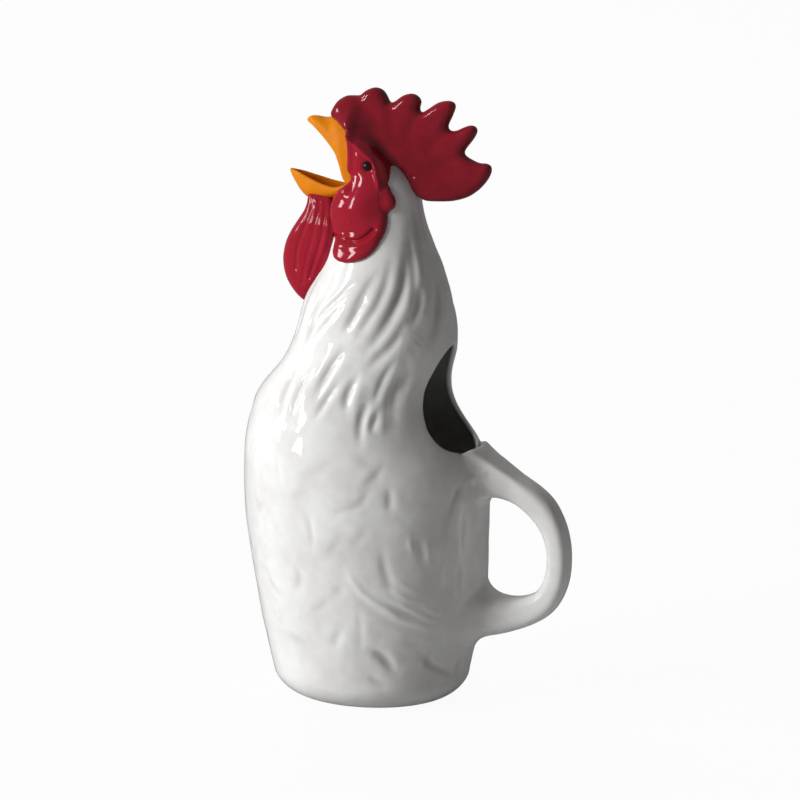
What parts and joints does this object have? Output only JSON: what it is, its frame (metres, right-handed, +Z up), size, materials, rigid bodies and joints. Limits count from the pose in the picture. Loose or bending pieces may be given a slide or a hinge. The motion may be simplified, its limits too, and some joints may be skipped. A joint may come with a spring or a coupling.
{
  "type": "figure pitcher",
  "caption": "Glazed earthenware jug shaped as a crowing rooster, filled through its back and poured through its open beak, with a loop handle as the tail.",
  "frame": {"origin": "middle of the flat foot, on the plane it stands on", "axes": "+Z up, the rooster faces -X, its handle is at +X, and XZ is the mirror plane"},
  "size_m": [0.1785, 0.116, 0.3205],
  "materials": {
    "white_glaze": "gloss glaze on earthenware",
    "red_glaze": "gloss glaze on earthenware",
    "orange_glaze": "gloss glaze on earthenware",
    "black_glaze": "gloss glaze on earthenware"
  },
  "bodies": {
    "root": {"body_shell": "white_glaze", "neck_shell": "white_glaze", "handle": "white_glaze", "face": "red_glaze", "comb": "red_glaze", "left_wattle": "red_glaze", "right_wattle": "red_glaze", "left_earlobe": "red_glaze", "right_earlobe": "red_glaze", "upper_beak": "orange_glaze", "lower_beak": "orange_glaze", "left_eye": "black_glaze", "right_eye": "black_glaze"}
  },
  "joints": []
}
